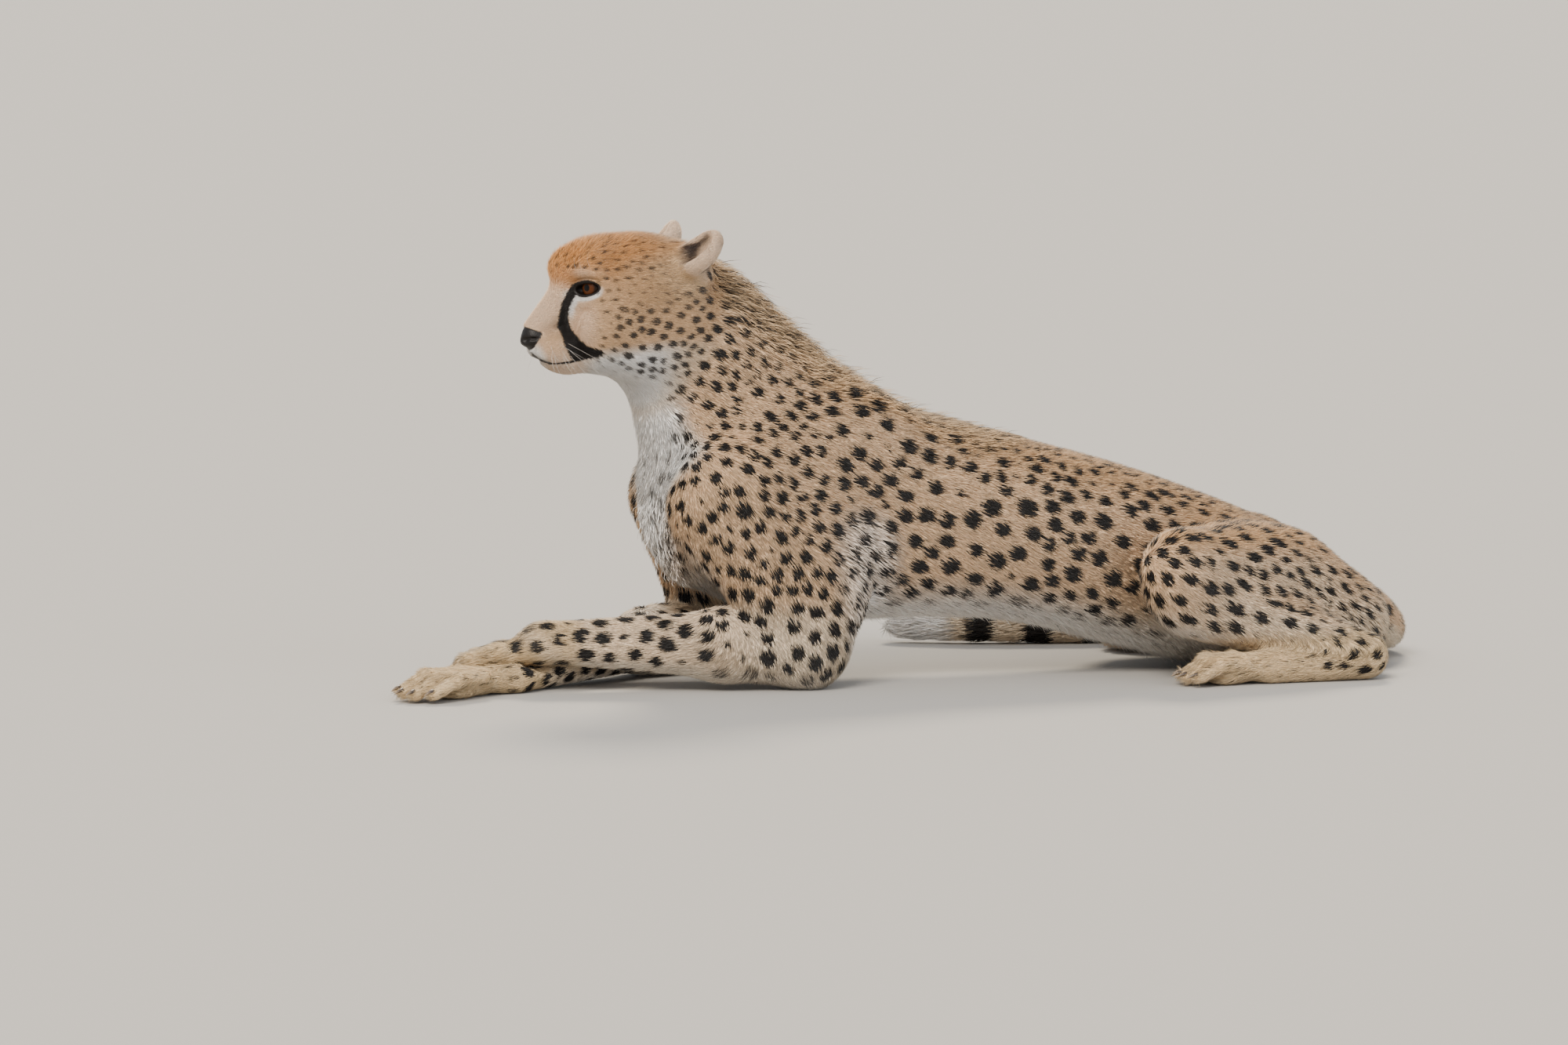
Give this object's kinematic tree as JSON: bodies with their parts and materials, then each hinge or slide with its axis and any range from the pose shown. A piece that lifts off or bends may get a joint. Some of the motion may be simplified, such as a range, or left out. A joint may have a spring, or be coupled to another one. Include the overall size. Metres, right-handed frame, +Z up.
{
  "type": "cheetah",
  "caption": "Life-size cheetah lying on its elbows with its head up, forelegs crossed and tail curled round its haunch, as a still museum model",
  "frame": {"origin": "the middle of the model's footprint, on the floor it lies on", "axes": "+X from the nose towards the rump, +Y to the animal's right, +Z up"},
  "size_m": [1.1713, 0.5065, 0.4917],
  "materials": {
    "coat": "short soft fur over skin",
    "paw_coat": "short pale fur",
    "ear_coat": "short dark fur",
    "eye": "glossy, amber",
    "claw": "satin horn"
  },
  "bodies": {
    "root": {"trunk": "coat", "neck": "coat", "head": "coat", "ear_left": "ear_coat", "eye_left": "eye", "upper_foreleg_left": "coat", "forearm_left": "coat", "forepaw_left": "paw_coat", "thigh_left": "coat", "hind_foot_left": "paw_coat", "ear_right": "ear_coat", "eye_right": "eye", "upper_foreleg_right": "coat", "forearm_right": "coat", "forepaw_right": "paw_coat", "thigh_right": "coat", "hind_foot_right": "paw_coat", "tail_base": "coat", "tail_middle": "coat", "tail_tip": "coat", "fore_claw_left_1": "claw", "fore_claw_left_2": "claw", "fore_claw_left_3": "claw", "fore_claw_left_4": "claw", "fore_claw_right_1": "claw", "fore_claw_right_2": "claw", "fore_claw_right_3": "claw", "fore_claw_right_4": "claw", "hind_claw_left_1": "claw", "hind_claw_left_2": "claw", "hind_claw_left_3": "claw", "hind_claw_left_4": "claw", "hind_claw_right_1": "claw", "hind_claw_right_2": "claw", "hind_claw_right_3": "claw", "hind_claw_right_4": "claw"}
  },
  "joints": []
}
